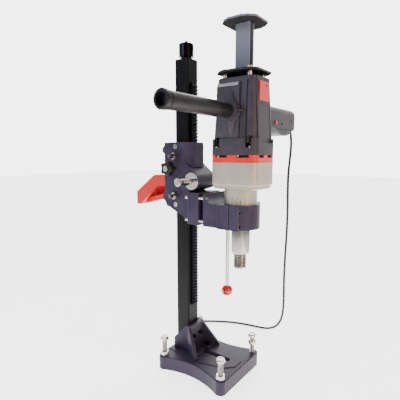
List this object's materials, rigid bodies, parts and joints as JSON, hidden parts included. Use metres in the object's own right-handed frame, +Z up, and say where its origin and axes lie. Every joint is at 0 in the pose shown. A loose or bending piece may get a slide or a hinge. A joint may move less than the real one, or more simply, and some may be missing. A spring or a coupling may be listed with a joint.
{
  "type": "core drill rig",
  "caption": "Core drill rig: a toothed column on a levelling base carries a rack-driven carriage with a clamped drill motor, side handle, switch grip and feed lever.",
  "frame": {"origin": "underside of the base casting, on the column's axis", "axes": "+X from the column to the drill spindle, +Z up along the column, -Y the side with the side handle and lock knob"},
  "size_m": [0.4455, 0.5371, 0.82],
  "materials": {
    "casting_paint": "fine textured purple-grey paint on cast aluminium",
    "black_steel": "satin black on drawn steel",
    "zinc_steel": "bright zinc plate",
    "black_oxide": "black oxide",
    "bright_steel": "turned steel",
    "nylon": "natural nylon",
    "black_plastic": "moulded black nylon",
    "red_plastic": "moulded red nylon",
    "red_paint": "red powder coat",
    "housing_plastic": "spark-eroded dark grey nylon",
    "gearbox_metal": "fine blasted aluminium",
    "brass": "turned brass",
    "motor_iron": "laminated iron and copper",
    "grey_steel": "grey paint on sheet steel",
    "cord_rubber": "black rubber sheath"
  },
  "bodies": {
    "stand": {"base_casting": "casting_paint", "column_bracket": "casting_paint", "bracket_screws": "zinc_steel", "column_tube": "black_steel", "rack": "black_steel", "column_plug": "black_steel", "level_lock_nuts": "zinc_steel", "cord_hank": "cord_rubber", "mains_plug": "black_plastic"},
    "level_rear_near": {"level_screw_rear_near": "zinc_steel"},
    "level_rear_far": {"level_screw_rear_far": "zinc_steel"},
    "level_front_near": {"level_screw_front_near": "zinc_steel"},
    "level_front_far": {"level_screw_front_far": "zinc_steel"},
    "jack": {"jack_screw": "black_steel"},
    "pinion": {"pinion_shaft": "bright_steel", "pinion_gear": "bright_steel"},
    "lever": {"feed_lever": "zinc_steel", "lever_ball": "red_plastic"},
    "knob": {"lock_knob": "black_plastic", "knob_screw": "bright_steel"},
    "spindle_unit": {"spindle": "bright_steel", "spindle_gear": "bright_steel"},
    "counter_unit": {"countershaft": "bright_steel", "counter_wheel": "bright_steel"},
    "armature_unit": {"armature_shaft": "bright_steel", "armature_core": "motor_iron", "cooling_fan": "nylon"},
    "trigger_unit": {"trigger": "black_plastic"},
    "lock_unit": {"lock_button": "red_plastic"},
    "carriage": {"brush_covers": "red_plastic", "brush_holders": "black_plastic", "carriage_casting": "casting_paint", "clamp_arm": "casting_paint", "clamp_cap": "casting_paint", "clamp_screws": "black_oxide", "cord": "cord_rubber", "field_core": "motor_iron", "gear_cover": "gearbox_metal", "gearbox_housing": "gearbox_metal", "grip_keel": "black_plastic", "guide_screws": "zinc_steel", "guide_strips": "nylon", "lower_plate": "grey_steel", "motor_bearings": "bright_steel", "motor_housing": "housing_plastic", "mount_block": "casting_paint", "mount_bolts": "black_oxide", "pinion_bearings": "bright_steel", "plate_screws": "zinc_steel", "post": "grey_steel", "rear_handle": "red_paint", "side_handle": "black_plastic", "spacer_plate": "black_steel", "spindle_bearings": "bright_steel", "strain_relief": "cord_rubber", "switch_grip": "housing_plastic", "switch_module": "black_plastic", "top_cap": "housing_plastic", "vent_ring": "red_plastic", "water_nipple": "brass"}
  },
  "joints": [
    {"name": "carriage_slide", "type": "slide", "parent": "stand", "child": "carriage", "axis": [0, 0, 1], "range_m": [-0.235, 0.18]},
    {"name": "pinion_spin", "type": "hinge", "parent": "carriage", "child": "pinion", "pos_m": [0.0425, 0, 0.479], "axis": [0, 1, 0], "range_deg": [-700, 910]},
    {"name": "feed_lever_swing", "type": "hinge", "parent": "carriage", "child": "lever", "pos_m": [0.0425, 0.127, 0.479], "axis": [0, 1, 0], "range_deg": [-110, 120]},
    {"name": "lock_knob_turn", "type": "hinge", "parent": "carriage", "child": "knob", "pos_m": [-0.0067, -0.06, 0.5087], "axis": [0, 1, 0], "continuous": true},
    {"name": "armature_spin", "type": "hinge", "parent": "carriage", "child": "armature_unit", "pos_m": [0.158, 0, 0.6], "axis": [0, 0, 1], "continuous": true},
    {"name": "spindle_spin", "type": "hinge", "parent": "carriage", "child": "spindle_unit", "pos_m": [0.158, 0, 0.4], "axis": [0, 0, 1], "continuous": true},
    {"name": "countershaft_spin", "type": "hinge", "parent": "carriage", "child": "counter_unit", "pos_m": [0.188, 0, 0.5], "axis": [0, 0, 1], "continuous": true},
    {"name": "trigger_pull", "type": "slide", "parent": "carriage", "child": "trigger_unit", "axis": [0, 0, 1], "range_m": [0, 0.006], "stiffness_N_per_m": 400, "springref_m": -0.004},
    {"name": "lock_button_push", "type": "slide", "parent": "carriage", "child": "lock_unit", "axis": [-1, 0, 0], "range_m": [0, 0.003], "stiffness_N_per_m": 300, "springref_m": -0.002},
    {"name": "jack_screw_turn", "type": "hinge", "parent": "stand", "child": "jack", "pos_m": [0, 0, 0.75], "axis": [0, 0, 1], "continuous": true},
    {"name": "level_rear_near_turn", "type": "hinge", "parent": "stand", "child": "level_rear_near", "pos_m": [-0.0166, -0.0735, 0.05], "axis": [0, 0, 1], "continuous": true},
    {"name": "level_rear_far_turn", "type": "hinge", "parent": "stand", "child": "level_rear_far", "pos_m": [-0.0166, 0.0735, 0.05], "axis": [0, 0, 1], "continuous": true},
    {"name": "level_front_near_turn", "type": "hinge", "parent": "stand", "child": "level_front_near", "pos_m": [0.1557, -0.0735, 0.05], "axis": [0, 0, 1], "continuous": true},
    {"name": "level_front_far_turn", "type": "hinge", "parent": "stand", "child": "level_front_far", "pos_m": [0.1557, 0.0735, 0.05], "axis": [0, 0, 1], "continuous": true}
  ],
  "couplings": [
    {"joint": "pinion_spin", "follows": "carriage_slide", "rad_per_m": -66.667},
    {"joint": "spindle_spin", "follows": "armature_spin", "ratio": 0.16667},
    {"joint": "countershaft_spin", "follows": "armature_spin", "ratio": -0.33333}
  ]
}
